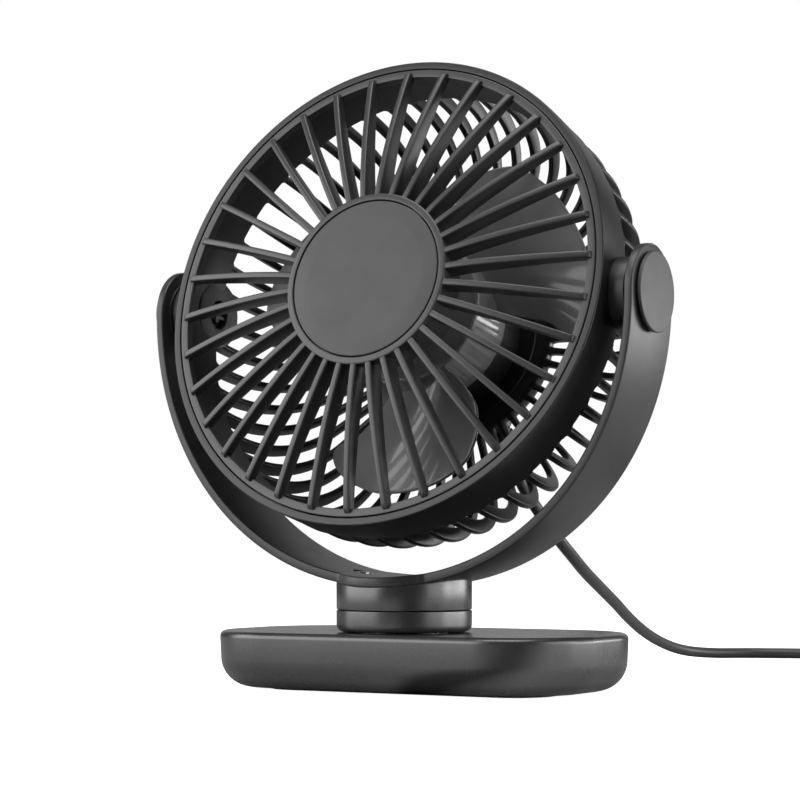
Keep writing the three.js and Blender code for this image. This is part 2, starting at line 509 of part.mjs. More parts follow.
function buildCord(root) {
  add(root, 'cord_lead', tube(CORD_ROUTE, 36), CORD);
  const top = COIL.z + COIL.h;
  const section = [[COIL.inR, COIL.z], [COIL.outR, COIL.z], [COIL.outR, COIL.z + CORD_D],
    [COIL.outR - COIL.slope, top], [COIL.inR + COIL.slope, top], [COIL.inR, COIL.z + CORD_D]];
  add(root, 'cord_coil', solid(upright(section, 32)).translate([COIL.x, COIL.y, 0]), CORD);

  const box = (w, d, h) => solid(new THREE.BoxGeometry(w, d, h));
  const near = COIL.inR - 0.85;
  const far = COIL.outR + GAP;
  const high = top + GAP;
  const strap = cut(box(far - near + 2 * STRAP_T, 7, high + STRAP_T), box(far - near, 12, high - STRAP_T));
  add(root, 'cord_tie', strap.translate([COIL.x - (near + far) / 2, COIL.y, (high + STRAP_T) / 2]), BLACK);

  const reliefEnd = PLUG.y + PLUG.relief;
  const tail = [[PLUG.x, 186.8, 4.2], [PLUG.x, 183, 3.9], [PLUG.x, reliefEnd + GAP, PLUG.z]];
  add(root, 'cord_tail', tube(tail, 4), CORD);
  const plugTaper = [[3.2, 2.2], [3.4, 2.4]];
  const relief = loft([[plugTaper[0], reliefEnd], [plugTaper[1], PLUG.y + GAP]].map(([[w, h], y]) => [
    [w, h], [-w, h], [-w, -h], [w, -h]].map(([x, z]) => new THREE.Vector3(x, y, z))));
  add(root, 'plug_relief', solid(relief).translate([PLUG.x, 0, PLUG.z]), CORD);
  const bodyBack = PLUG.y;
  const bodyFront = PLUG.y - PLUG.l;
  const bodySection = (inset, y) => {
    const w = PLUG.w / 2 - inset;
    const h = PLUG.t / 2 - inset;
    const c = 1;
    const corners = [[w, h - c], [w - c, h], [c - w, h], [-w, h - c]];
    const turned180 = corners.map(([x, z]) => [-x, -z]);
    return [...corners, ...turned180].map(([x, z]) => new THREE.Vector3(x, y, z));
  };
  const body = loft([bodySection(1.2, bodyBack), bodySection(0, bodyBack - 1.2),
    bodySection(0, bodyFront + 0.6), bodySection(0.6, bodyFront)]);
  add(root, 'plug_housing', solid(body).translate([PLUG.x, 0, PLUG.z]), CORD);
  const shellMid = bodyFront - GAP - SHELL.l / 2;
  const shell = cut(box(SHELL.w, SHELL.l, SHELL.t),
    box(SHELL.w - 2 * SHELL.wall, SHELL.l, SHELL.t - 2 * SHELL.wall).translate([0, -SHELL.wall, 0]),
    ...[-2.9, 2.9].map((x) => box(2.3, 2.3, 2).translate([x, 0.6, SHELL.t / 2])));
  add(root, 'plug_shell', shell.translate([PLUG.x, shellMid, PLUG.z]), STEEL);
  const insertL = SHELL.l - 2;
  add(root, 'plug_insert', box(SHELL.w - 1.4, insertL, 1.7)
    .translate([PLUG.x, shellMid + (SHELL.l - insertL) / 2 - SHELL.wall - GAP, PLUG.z - 1]), NYLON);
}

// ---------- assembly ----------
const fan = new THREE.Group();
buildBase(fan);
buildYoke(fan);
buildCord(fan);

const head = new THREE.Group();
head.position.z = PIVOT_Z;
head.rotation.x = -TILT * Math.PI / 180;
fan.add(head);
buildRearHousing(head);
buildGrille(head);
buildMotor(head);
const button = buildCover(head);
buildPivots(head);
buildImpeller(head);
add(head, 'speed_button', button, MID_GREY);

export default fan;
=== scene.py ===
"""Looks of the desk fan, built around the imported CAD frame. Shapes are worked out in millimetres, +Z up."""
import math

import bmesh
import bpy
from mathutils import Matrix, Vector


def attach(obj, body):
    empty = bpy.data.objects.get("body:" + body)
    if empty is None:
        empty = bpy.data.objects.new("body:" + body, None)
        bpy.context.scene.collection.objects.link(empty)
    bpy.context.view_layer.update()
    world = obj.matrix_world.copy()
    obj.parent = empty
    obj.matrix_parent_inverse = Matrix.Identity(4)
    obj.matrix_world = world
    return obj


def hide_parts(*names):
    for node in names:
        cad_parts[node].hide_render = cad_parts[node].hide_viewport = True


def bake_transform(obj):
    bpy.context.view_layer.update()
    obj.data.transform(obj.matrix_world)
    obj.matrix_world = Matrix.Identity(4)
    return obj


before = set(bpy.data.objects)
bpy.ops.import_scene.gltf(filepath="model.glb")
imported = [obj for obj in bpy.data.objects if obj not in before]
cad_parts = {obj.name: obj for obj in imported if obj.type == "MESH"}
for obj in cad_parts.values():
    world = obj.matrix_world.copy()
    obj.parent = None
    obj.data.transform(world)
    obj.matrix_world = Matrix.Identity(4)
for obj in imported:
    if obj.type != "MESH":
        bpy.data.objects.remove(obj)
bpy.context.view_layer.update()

MM = 0.001  # in metres, the frame's unit

# ---------- driving sizes, the same as the CAD model's ----------
PIVOT_Z = 119.5
TILT = math.radians(15)
HEAD = Matrix.Translation((0, 0, PIVOT_Z)) @ Matrix.Rotation(-TILT, 4, "X")
UPRIGHT = Matrix.Identity(4)
AT_PIVOT = Matrix.Translation((0, 0, PIVOT_Z))

BASE_W, BASE_D, BASE_CORNER, BASE_CY = 130.0, 71.6, 29.0, 10.5
BASE_BOTTOM, BASE_TOP, BASE_WALL = 0.8, 18.4, 2.5
BASE_UNDER_R, BASE_EDGE_R, BASE_DRAFT = 9.0, 2.0, 0.8
PAD_INSET, PAD_T = 16.0, 1.5
BASE_SCREW_X, BASE_SCREW_Y, BASE_SCREW_HEAD = 42.0, 18.0, 1.85
NECK_R, NECK_BOTTOM, NECK_SPLIT, NECK_GAP = 20.9, 18.7, 25.35, 0.12
NECK_STEM_R, NECK_STEM_BOTTOM, NECK_BORE_R = 15.0, 12.0, 6.4
YOKE_RX, YOKE_RZ, YOKE_HALF = 84.1, 87.0, 14.4
YOKE_T, YOKE_T_LOW, YOKE_FULLNESS = 2.6, 3.0, 2.06
YOKE_SCREW_X, YOKE_SCREW_SEAT = 16.0, 35.5
# the pivots, measured out from the middle along X
BOSS_R, BOSS_START, BOSS_END = 10.8, 69.3, 79.7
BOSS_SCREW_SEAT, BOSS_SHOULDER = 71.4, 72.6
WASHER_R, WASHER_START, WASHER_END = 10.2, 80.0, 80.7
ARM_BOSS_START, ARM_BORE_R = 81.0, 4.0
ARM_SCREW_SEAT, ARM_SCREW_SEAT_R = 82.1, 6.6
CAP_R, CAP_PLUG_R, CAP_BACK, CAP_FACE = 12.1, 6.2, 84.4, 85.9
# the head, measured out from its axis and forward from the pivots
RIM_R, RIM_FRONT, WALL_R, WALL_REAR, DUCT_R = 75.0, 15.8, 74.6, -1.0, 69.8
SEAT_R, SEAT_BOTTOM = 72.7, 13.2
FINS, RIBS, BLADES = 52, 34, 3
FIN_HALF, FIN_FLARE, FIN_INSIDE_R = 1.0, 1.8, 70.0
DISC_R, DISC_FRONT, DISC_REAR = 33.8, -35.0, -38.0
HUB_R, BADGE_R, BADGE_BACK, HUB_FACE = 27.3, 24.9, 22.4, 25.2
RIB_IN, RIB_OUT, RIB_HALF, RIB_HIGH, RIB_LOW = 26.2, 71.3, 1.0, 24.6, 16.9
DOME_FULLNESS = 1.62
COVER_R, COVER_REAR, COVER_SCREW_AT = 30.4, -48.5, 25.4
MOTOR_CUP_R = 24.0
BLADE_ROOT, BLADE_TIP, BLADE_HALF_T = 23.0, 57.3, 0.7
BLADE_S, BLADE_PITCH, BLADE_BOW, BLADE_HALF_ANGLE, FIRST_BLADE = -13.0, 8.5, 1.4, 38.0, -89.0
CORD_D = 4.0
COIL_AT = Vector((96, 206))
PLUG_X, PLUG_Y, PLUG_Z = 123.6, 172.0, 3.8


# ---------- mesh helpers ----------
def softened(corners, steps=5, closed=True):
    """An outline from [across, up, rounding] corners."""
    points = []
    last = len(corners) - 1
    for i, (x, y, rounding) in enumerate(corners):
        p = Vector((x, y))
        if rounding == 0 or (not closed and i in (0, last)):
            points.append(p)
            continue
        a = Vector(corners[i - 1][:2]) - p
        b = Vector(corners[(i + 1) % len(corners)][:2]) - p
        half = a.angle(b) / 2
        cut = min(rounding / math.tan(half), a.length * 0.49, b.length * 0.49)
        start, end = p + a.normalized() * cut, p + b.normalized() * cut
        for k in range(steps + 1):
            t = k / steps
            points.append(start * (1 - t) ** 2 + p * 2 * t * (1 - t) + end * t * t)
    return points


def revolved(outline, to_space, segments=128):
    """An outline turned about an axis. to_space maps (radius, height, angle) to a point."""
    closed = not (outline[0][0] == 0 and outline[-1][0] == 0)
    verts, rings = [], []
    for r, h in outline:
        if abs(r) < 1e-9:
            rings.append([len(verts)] * segments)
            verts.append(to_space(0, h, 0))
            continue
        rings.append([len(verts) + k for k in range(segments)])
        verts.extend(to_space(r, h, 2 * math.pi * k / segments) for k in range(segments))
    faces = []
    for i in range(len(rings) - (0 if closed else 1)):
        a, b = rings[i], rings[(i + 1) % len(rings)]
        for k in range(segments):
            n = (k + 1) % segments
            face = list(dict.fromkeys((a[k], a[n], b[n], b[k])))
            if len(face) > 2:
                faces.append(face)
    return verts, faces


def lofted(loops, wrap=False):
    """A skin over loops that all have the same number of points, with closed ends unless it wraps round."""
    n = len(loops[0])
    verts = [p for loop in loops for p in loop]
    faces = []
    for k in range(len(loops) if wrap else len(loops) - 1):
        a, b = k * n, (k + 1) % len(loops) * n
        faces.extend([a + i, a + (i + 1) % n, b + (i + 1) % n, b + i] for i in range(n))
    if not wrap:
        faces.append(list(range(n)))
        faces.append([(len(loops) - 1) * n + i for i in range(n)])
    return verts, faces


def joined(*parts):
    verts, faces = [], []
    for v, f in parts:
        faces.extend([i + len(verts) for i in face] for face in f)
        verts.extend(v)
    return verts, faces


def moved(shape, offset):
    verts, faces = shape
    return [v + Vector(offset) for v in verts], faces


def about_z(r, h, a):
    return Vector((r * math.cos(a), r * math.sin(a), h))


def about_x(side):
    """The pivots' axis, with heights running outwards on one side."""
    def to_space(r, h, a):
        return Vector((side * h, r * math.cos(a), r * math.sin(a)))

    return to_space


def about_head(r, s, a):
    """The head's axis, with s measured forward."""
    return Vector((r * math.cos(a), -s, r * math.sin(a)))


def mesh_of(name, shape, place=UPRIGHT):
    verts, faces = shape
    mesh = bpy.data.meshes.new(name)
    mesh.from_pydata([place @ Vector(v) * MM for v in verts], [], faces)
    bm = bmesh.new()
    bm.from_mesh(mesh)
    bmesh.ops.remove_doubles(bm, verts=bm.verts, dist=1e-7)
    bmesh.ops.recalc_face_normals(bm, faces=bm.faces)
    bm.to_mesh(mesh)
    bm.free()
    return mesh


def link(name, mesh, material=None, sharp=32):
    mesh.polygons.foreach_set("use_smooth", [True] * len(mesh.polygons))
    mesh.set_sharp_from_angle(angle=math.radians(sharp))
    if material:
        mesh.materials.clear()
        mesh.materials.append(material)
    obj = bpy.data.objects.new(name, mesh)
    bpy.context.scene.collection.objects.link(obj)
    return obj


def piece(name, shape, material, body, nodes=(), place=UPRIGHT, cutters=(), sharp=32):
    """A finished piece: its shape in mm, cut where asked, riding on a CAD body in place of CAD nodes."""
    obj = link(name, mesh_of(name, shape, place), material, sharp)
    for k, cutter in enumerate(cutters):
        tool = link(f"cut_{k}", mesh_of(f"cut_{k}", cutter, place))
        change = obj.modifiers.new("cut", "BOOLEAN")
        change.operation, change.object, change.solver = "DIFFERENCE", tool, "EXACT"
        depsgraph = bpy.context.evaluated_depsgraph_get()
        mesh = bpy.data.meshes.new_from_object(obj.evaluated_get(depsgraph))
        obj.modifiers.clear()
        obj.data = mesh
        mesh.polygons.foreach_set("use_smooth", [True] * len(mesh.polygons))
        mesh.set_sharp_from_angle(angle=math.radians(sharp))
        bpy.data.objects.remove(tool)
    if body:
        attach(obj, body)
    if nodes:
        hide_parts(*nodes)
    return obj


def rod(radius, low, high, to_space=about_z, segments=32):
    """A cylinder about the axis that to_space gives."""
    return revolved([(0, low), (radius, low), (radius, high), (0, high)], to_space, segments)


# ---------- materials ----------
MOTTLE = 0.12  # share by which tone and gloss vary
GRAIN_DEPTH = 0.06


def surface(name, color, roughness, metallic=0.0, grain=0.0, grain_size=0.35, coat=0.0,
            brushed=(1, 1, 1), specular=0.5):
    """A moulded or metal surface, its uneven tone, uneven gloss and fine grain all from noise."""
    material = bpy.data.materials.new(name)
    material.use_nodes = True
    tree = material.node_tree
    shader = tree.nodes["Principled BSDF"]
    shader.inputs["Metallic"].default_value = metallic
    shader.inputs["Coat Weight"].default_value = coat
    shader.inputs["Specular IOR Level"].default_value = specular
    where = tree.nodes.new("ShaderNodeTexCoord")
    stretch = tree.nodes.new("ShaderNodeMapping")
    stretch.inputs["Scale"].default_value = brushed
    tree.links.new(where.outputs["Object"], stretch.inputs["Vector"])

    def noise(scale, detail):
        node = tree.nodes.new("ShaderNodeTexNoise")
        node.inputs["Scale"].default_value = scale
        node.inputs["Detail"].default_value = detail
        tree.links.new(stretch.outputs["Vector"], node.inputs["Vector"])
        return node.outputs["Fac"]

    tone = tree.nodes.new("ShaderNodeValToRGB")
    for stop, position, share in zip(tone.color_ramp.elements, (0.3, 0.7), (1 - MOTTLE, 1 + MOTTLE)):
        stop.position = position
        stop.color = [c * share for c in color] + [1]
    tree.links.new(noise(60, 6), tone.inputs["Fac"])
    tree.links.new(tone.outputs["Color"], shader.inputs["Base Color"])
    gloss = tree.nodes.new("ShaderNodeMapRange")
    gloss.inputs["To Min"].default_value = roughness * (1 - MOTTLE)
    gloss.inputs["To Max"].default_value = roughness * (1 + MOTTLE)
    tree.links.new(noise(140, 4), gloss.inputs["Value"])
    tree.links.new(gloss.outputs["Result"], shader.inputs["Roughness"])
    if grain:
        bump = tree.nodes.new("ShaderNodeBump")
        bump.inputs["Strength"].default_value = grain
        bump.inputs["Distance"].default_value = GRAIN_DEPTH * MM
        tree.links.new(noise(1 / (grain_size * MM), 3), bump.inputs["Height"])
        tree.links.new(bump.outputs["Normal"], shader.inputs["Normal"])
    return material


def grey(level):
    return (level, level, level * 1.02)


SATIN = surface("satin_plastic", grey(0.039), 0.38, grain=0.25)
BASE = surface("base_plastic", grey(0.040), 0.28, grain=0.12, specular=1.0)
HOUSING = surface("housing_plastic", grey(0.013), 0.36, grain=0.25)
GRILLE = surface("grille_plastic", grey(0.039), 0.36, grain=0.2, specular=0.6)
CAP = surface("cap_plastic", grey(0.060), 0.48, grain=0.3)
BADGE = surface("badge_plastic", grey(0.062), 0.50, grain=0.35)
SMOKED = surface("smoked_plastic", grey(0.27), 0.18, grain=0.7, grain_size=4.0, coat=0.45)
BLACK = surface("black_plastic", grey(0.010), 0.5, grain=0.3)
RUBBER = surface("rubber", grey(0.018), 0.8, grain=0.6, grain_size=0.5)
STEEL = surface("steel", (0.62, 0.62, 0.63), 0.28, metallic=1.0, grain=0.1, brushed=(1, 1, 12))
BRONZE = surface("bronze", (0.5, 0.34, 0.15), 0.4, metallic=1.0, grain=0.3)
COPPER = surface("copper_wire", (0.58, 0.25, 0.12), 0.35, metallic=1.0, grain=0.8, brushed=(1, 1, 20))
NYLON = surface("nylon", (0.62, 0.60, 0.56), 0.45, grain=0.2)
BOARD = surface("circuit_board", (0.02, 0.10, 0.04), 0.4, grain=0.4)
CORD = surface("cord_jacket", grey(0.05), 0.42, grain=0.35, grain_size=0.6)
PLUG = surface("plug_jacket", grey(0.045), 0.48, grain=0.35)

# the hidden pieces, which keep their CAD solids
PLAIN_NODES = {
    "base_plate": BLACK, "base_weight": STEEL, "collar_nut": BLACK, "wave_washer": STEEL,
    "swivel_washer": STEEL, "swivel_screw": STEEL, "motor_bracket": BLACK, "motor_can": STEEL,
    "motor_winding": COPPER, "motor_end_cap": NYLON, "front_bearing": BRONZE, "circuit_board": BOARD,
    "tact_switch": BLACK, "pivot_screw_left": BLACK, "pivot_screw_right": BLACK, "motor_shaft": STEEL,
}


# ---------- camera ----------
VIEW_AZIMUTH, VIEW_PITCH = math.radians(30.14), math.radians(3.09)
VIEW_DISTANCE, VIEW_SHIFT, VIEW_HEIGHT = 763.18, 1.3, 48.83


def make_camera():
    back = Vector((math.sin(VIEW_AZIMUTH), -math.cos(VIEW_AZIMUTH), 0))
    right = Vector((math.cos(VIEW_AZIMUTH), math.sin(VIEW_AZIMUTH), 0))
    forward = -back * math.cos(VIEW_PITCH) + Vector((0, 0, math.sin(VIEW_PITCH)))
    up = right.cross(forward)
    data = bpy.data.cameras.new("camera")
    data.lens, data.sensor_width = 111.07, 36
    data.clip_start, data.clip_end = 0.05, 50
    camera = bpy.data.objects.new("camera", data)
    turn = Matrix((right, up, -forward)).transposed().to_4x4()
    place = back * VIEW_DISTANCE - right * VIEW_SHIFT + Vector((0, 0, VIEW_HEIGHT))
    camera.matrix_world = Matrix.Translation(place * MM) @ turn
    bpy.context.scene.collection.objects.link(camera)
    bpy.context.scene.camera = camera


# ---------- cord ----------
# from the relief behind the head, down to the surface and round to the coil
LEAD = [(16.35, 41.66, 70.95), (18.3, 44.9, 63.6), (21.1, 50.1, 55.8), (23.4, 58.5, 47.6), (23, 70, 41.6),
        (20.6, 85, 36), (16.5, 105, 30.4), (11.5, 128, 24.4), (6, 152, 18), (1.5, 176, 12), (-1, 198, 7.2),
        (-0.6, 216, 4), (4, 231.5, 2.5), (14.5, 243.5, 2.2), (30, 249.5, 2.2), (47, 250, 2.3),
        (62, 247.3, 2.4), (73, 243.3, 2.6), (82, 239.4, 2.8), (89, 236.9, 3.0)]
LOW_TURNS = [29.6 - CORD_D * k for k in range(5)]
HIGH_TURNS = [15.6 + CORD_D * k for k in range(4)]
LOW_Z, HIGH_Z = 3.0, 6.4
STEP_OVER = 5  # points over which a turn moves across to the next
TAIL = [(PLUG_X, 199.5, 6.8), (PLUG_X, 193, 6.6), (PLUG_X, 187.3, 5.3), (PLUG_X, 182, 4.1),
        (PLUG_X, 177.1, 3.8)]


def coil_points(steps=24):
    """Turns that keep their radius and step to the next one over the last stretch of each turn."""
    turns = [(r, LOW_Z, 1.0) for r in LOW_TURNS[:-1]] + [(LOW_TURNS[-1], LOW_Z, 0.25)]
    turns += [(r, HIGH_Z, 1.0) for r in HIGH_TURNS]
    points, angle = [], math.pi / 2
    for k, (r, z, share) in enumerate(turns):
        count = int(steps * share)
        following = turns[min(k + 1, len(turns) - 1)]
        for i in range(count):
            shift = max(0.0, (i - count + STEP_OVER) / STEP_OVER) if k + 1 < len(turns) else 0.0
            shift = shift * shift * (3 - 2 * shift)
            radius = r + (following[0] - r) * shift
            x = COIL_AT.x + radius * math.cos(angle)
            y = COIL_AT.y + radius * math.sin(angle)
            points.append((x, y, z + (following[1] - z) * shift))
            angle -= 2 * math.pi / steps
    return points


def smooth_path(points, step):
    """Catmull-Rom through the points, sampled about every step."""
    p = [Vector(q) for q in points]
    p = [p[0] * 2 - p[1]] + p + [p[-1] * 2 - p[-2]]
    out = []
    for i in range(1, len(p) - 2):
        count = max(1, round((p[i + 1] - p[i]).length / step))
        for k in range(count):
            t = k / count
            a, b, c, d = p[i - 1:i + 3]
            out.append(0.5 * (2 * b + (c - a) * t + (2 * a - 5 * b + 4 * c - d) * t * t
                              + (3 * b - a - 3 * c + d) * t ** 3))
    return out + [p[-2]]


def tube(path, radius, sides=14):
    """A round tube along a path, without twist."""
    loops = []
    normal = None
    for i, p in enumerate(path):
        along = (path[min(i + 1, len(path) - 1)] - path[max(i - 1, 0)]).normalized()
        if normal is None:
            normal = along.orthogonal().normalized()
        normal = (normal - along * normal.dot(along)).normalized()
        across = along.cross(normal)
        loops.append([p + (normal * math.cos(a) + across * math.sin(a)) * radius
                      for a in (2 * math.pi * k / sides for k in range(sides))])
    return lofted(loops)


def rounded_box(low, high, rounding, steps=4):
    """A box with all its edges rounded."""
    mesh = bmesh.new()
    centre = [(a + b) / 2 for a, b in zip(low, high)]
    size = [b - a for a, b in zip(low, high)]
    bmesh.ops.create_cube(mesh, size=1, matrix=Matrix.Translation(centre) @ Matrix.Diagonal((*size, 1)))
    bmesh.ops.bevel(mesh, geom=mesh.edges[:], offset=rounding, segments=steps, profile=0.5,
                    affect="EDGES")
    shape = ([v.co.copy() for v in mesh.verts], [[v.index for v in f.verts] for f in mesh.faces])
    mesh.free()
    return shape


def make_cord():
    path = smooth_path(LEAD + coil_points() + TAIL, 2.0)
    plugs = [make_tie(), *make_plug()]
    cord = piece("power_cord", tube(path, CORD_D / 2), CORD, None,
                 ["cord_lead", "cord_coil", "cord_tail"])
    Vector(LEAD[0]) * MM
    Vector(LEAD[5]) * MM
    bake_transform(cord)
    Vector(LEAD[0]) * MM


def make_tie():
    """A flat strap round one side of the coil."""
    far, near, high = COIL_AT.x - 32.4, COIL_AT.x - 10.2, 9.3
    half = 3.5
    ring = softened([(far, 0.0, 1.4), (near, 0.0, 1.4), (near, high, 1.4), (far, high, 1.4)], 6)
    outer = [[Vector((p.x, y, p.y)) for p in ring] for y in (COIL_AT.y - half, COIL_AT.y + half)]
    centre = Vector(((far + near) / 2, high / 2))
    inside = [centre + Vector(((p.x - centre.x) * 0.94, (p.y - centre.y) * 0.85)) for p in ring]
    inner = [[Vector((p.x, y, p.y)) for p in inside] for y in (COIL_AT.y + half, COIL_AT.y - half)]
    return piece("cord_strap", lofted(outer + inner, wrap=True), BLACK, "yoke",
                 ["cord_tie"])


def plug_loop(half_w, half_h, rounding, steps, y, inset=0.0):
    """A rounded rectangle round the plug's axis, at a place along it."""
    outline = softened([(half_w, half_h, rounding), (-half_w, half_h, rounding),
                        (-half_w, -half_h, rounding), (half_w, -half_h, rounding)], steps)
    wide, high = 1 - inset / half_w, 1 - inset / half_h
    return [Vector((PLUG_X + p.x * wide, y, PLUG_Z + p.y * high)) for p in outline]


def plug_box(left, right, front, back, low, high, rounding):
    """A rounded box, its width and height measured from the plug's axis."""
    return rounded_box((PLUG_X + left, front, PLUG_Z + low), (PLUG_X + right, back, PLUG_Z + high), rounding)


def make_plug():
    sleeve_l, steps = 4.8, 24
    loops = []
    for k in range(steps + 1):
        groove = 0.35 if k % 6 in (2, 3) and k < steps - 2 else 0.0
        less = 0.2 * k / steps + groove
        loops.append(plug_loop(3.4 - less, 2.45 - less, 1.0, 4, PLUG_Y + sleeve_l * k / steps))
    sleeve = piece("plug_sleeve", lofted(loops), PLUG, "yoke", ["plug_relief"])
    jacket_back = PLUG_Y - 17
    jacket = plug_box(-7.5, 7.5, jacket_back, PLUG_Y, 0.05 - PLUG_Z, 7.6 - PLUG_Z, 0.9)
    body = piece("plug_body", jacket, PLUG, "yoke", ["plug_housing"])

    back = jacket_back - 0.3
    front = back - 12.5
    shell = lofted([plug_loop(6, 2.25, 0.7, 5, y, inset) for y, inset in (
        (back, 0), (front + 0.3, 0), (front, 0.15), (front, 0.35), (back - 0.4, 0.35))])
    windows = [plug_box(x - 1.15, x + 1.15, back - 7.8, back - 5.5, 1, 4, 0.15) for x in (-2.9, 2.9)]
    metal = piece("plug_metal", shell, STEEL, "yoke", ["plug_shell"], cutters=windows)
    bar = plug_box(-5.3, 5.3, front + 0.6, back - 0.7, -1.85, -0.15, 0.2)
    tongue = piece("plug_tongue", bar, NYLON, "yoke", ["plug_insert"])
    strips = [plug_box(x - 0.5, x + 0.5, front + 1.2, back - 2, -0.2, 0.05, 0.08)
              for x in (-3.5, -1, 1, 3.5)]
    contacts = piece("plug_contacts", joined(*strips), BRONZE, "yoke")
    return [sleeve, body, metal, tongue, contacts]


# ---------- base ----------
def plan_loop(inset, z, steps=20):
    """The base's outline seen from above, drawn in by an inset, at a height."""
    r = BASE_CORNER - inset
    loop = []
    for quarter, (sx, sy) in enumerate(((1, 1), (-1, 1), (-1, -1), (1, -1))):
        for i in range(steps + 1):
            a = (quarter + i / steps) * math.pi / 2
            loop.append(Vector((sx * (BASE_W / 2 - BASE_CORNER) + r * math.cos(a),
                                BASE_CY + sy * (BASE_D / 2 - BASE_CORNER) + r * math.sin(a), z)))
    return loop


def base_sides():
    """(inset, height) round the base's shell: top, drafted side, large lower radius, then its inside."""
    def leaning(inset, z):
        return Vector((inset + BASE_DRAFT * (BASE_TOP - z) / (BASE_TOP - BASE_BOTTOM), z))

    middle, steps = 28, 12
    quarter = [math.pi / 2 * k / steps for k in range(steps + 1)]
    sides = [Vector((inset, BASE_TOP)) for inset in (middle, 12, 5)]
    sides += [leaning(BASE_EDGE_R * (1 - math.sin(a)), BASE_TOP - BASE_EDGE_R * (1 - math.cos(a)))
              for a in quarter]
    sides += [leaning(BASE_UNDER_R * (1 - math.cos(a)), BASE_BOTTOM + BASE_UNDER_R * (1 - math.sin(a)))
              for a in quarter]
    lip = BASE_UNDER_R + BASE_WALL
    sides += softened([(lip - 1, BASE_BOTTOM, 0), (lip, BASE_BOTTOM, 0.3), (lip, BASE_BOTTOM + 1, 0),
                       (BASE_WALL + 1.5, BASE_BOTTOM + BASE_UNDER_R, 0),
                       (BASE_WALL, BASE_TOP - BASE_WALL, 0), (middle, BASE_TOP - BASE_WALL, 0)],
                      4, closed=False)
    return sides


def make_base():
    shell = lofted([plan_loop(p.x, p.y) for p in base_sides()])
    neck_hole = rod(NECK_STEM_R + 0.1, NECK_STEM_BOTTOM, BASE_TOP + 1, segments=64)
    piece("base_body", shell, BASE, "base", ["base_shell"], cutters=[neck_hole])
    pad = softened([(PAD_INSET + 0.6, 0.0, 0), (PAD_INSET, 0.0, 0.35), (PAD_INSET, PAD_T, 0),
                    (PAD_INSET + 8, PAD_T, 0)], 4, closed=False)
    piece("base_pad", lofted([plan_loop(p.x, p.y) for p in pad]), RUBBER, "base", ["rubber_pad"])
    low = softened([(NECK_BORE_R, NECK_STEM_BOTTOM, 0), (NECK_STEM_R, NECK_STEM_BOTTOM, 0.3),
                    (NECK_STEM_R, NECK_BOTTOM, 0), (NECK_R, NECK_BOTTOM, 2.3),
                    (NECK_R, NECK_SPLIT - NECK_GAP, 0.25), (NECK_BORE_R, NECK_SPLIT - NECK_GAP, 0)], 8)
    piece("neck_ring", revolved(low, about_z), BASE, "base", ["neck_lower"])
    for k, (side, end) in enumerate(((-1, -1), (1, -1), (1, 1), (-1, 1))):
        foot = Matrix.Translation((side * BASE_SCREW_X, BASE_CY + end * BASE_SCREW_Y, BASE_SCREW_HEAD))
        screw(f"base_fastener_{k + 1}", 2.9, 0.8, 1.2, 7, "base", f"base_screw_{k + 1}",
              foot @ Matrix.Rotation(math.pi, 4, "X"))


def screw(name, head_r, head_h, shank_r, length, body, node, place):
    """A pan-head screw with a cross recess, its head's top at the place's origin and its shank below."""
    tip = -head_h - length
    outline = softened([(0, 0, 0), (head_r, 0, head_h * 0.6), (head_r, -head_h, 0.05), (shank_r, -head_h, 0),
                        (shank_r, tip + shank_r, 0), (0.2, tip, 0), (0, tip, 0)], 5, closed=False)
    arm, slit = head_r * 0.55, head_r * 0.14
    slots = [rounded_box((-a, -b, -head_h * 0.6), (a, b, 1), 0.05, 1) for a, b in ((arm, slit), (slit, arm))]
    nodes = [node] if node else []
    piece(name, revolved(outline, about_z, 40), STEEL, body, nodes, place, slots)


# ---------- yoke ----------
def yoke_edge(angle, rx=YOKE_RX, rz=YOKE_RZ):
    """A point (x, z) on the yoke's slightly full half ellipse, at an angle below the pivots."""
    across, down = (abs(v) ** (2 / YOKE_FULLNESS) for v in (math.cos(angle), math.sin(angle)))
    return Vector((rx * across, PIVOT_Z - rz * down))


def yoke_floor(x):
    """The height of the yoke's underside at a place along X."""
    return PIVOT_Z - YOKE_RZ * (1 - (abs(x) / YOKE_RX) ** YOKE_FULLNESS) ** (1 / YOKE_FULLNESS)


def band_section(outer, inner, half, rounding=0.55, steps=4):
    """A rounded-rectangle section between an outer and an inner point of the side view, given as (x, z)."""
    across = outer - inner
    thick = across.length
    across.normalize()
    c = min(rounding, half * 0.9, thick * 0.45)
    loop = []
    for quarter, (sy, sn) in enumerate(((1, 1), (-1, 1), (-1, -1), (1, -1))):
        for i in range(steps + 1):
            a = (quarter + i / steps) * math.pi / 2
            y = sy * (half - c) + c * math.cos(a)
            n = sn * (thick / 2 - c) + c * math.sin(a) + thick / 2
            p = inner + across * n
            loop.append(Vector((p.x, y, p.y)))
    return loop


def yoke_stations():
    """Outer point, inner point and half width, from the top of the right arm down to the middle."""
    stations = []
    steps, widest = 16, math.radians(88)
    for k in range(steps + 1):
        a = widest * (1 - k / steps)
        z = PIVOT_Z + YOKE_HALF * math.sin(a)
        stations.append((Vector((YOKE_RX, z)), Vector((YOKE_RX - YOKE_T, z)), YOKE_HALF * math.cos(a)))
    angle = 1.0
    while angle < 90:
        a = math.radians(angle)
        outer, inner = yoke_edge(a), yoke_edge(a, YOKE_RX - YOKE_T, YOKE_RZ - YOKE_T_LOW)
        over_neck = math.sqrt(max(NECK_R ** 2 - outer.x ** 2, 0))
        stations.append((outer, inner, max(YOKE_HALF, over_neck)))
        angle += 0.45 if YOKE_RX * math.cos(a) < NECK_R + 3.1 else 1.5
    return stations


def mirrored_station(station):
    outer, inner, half = station
    return Vector((-outer.x, outer.y)), Vector((-inner.x, inner.y)), half


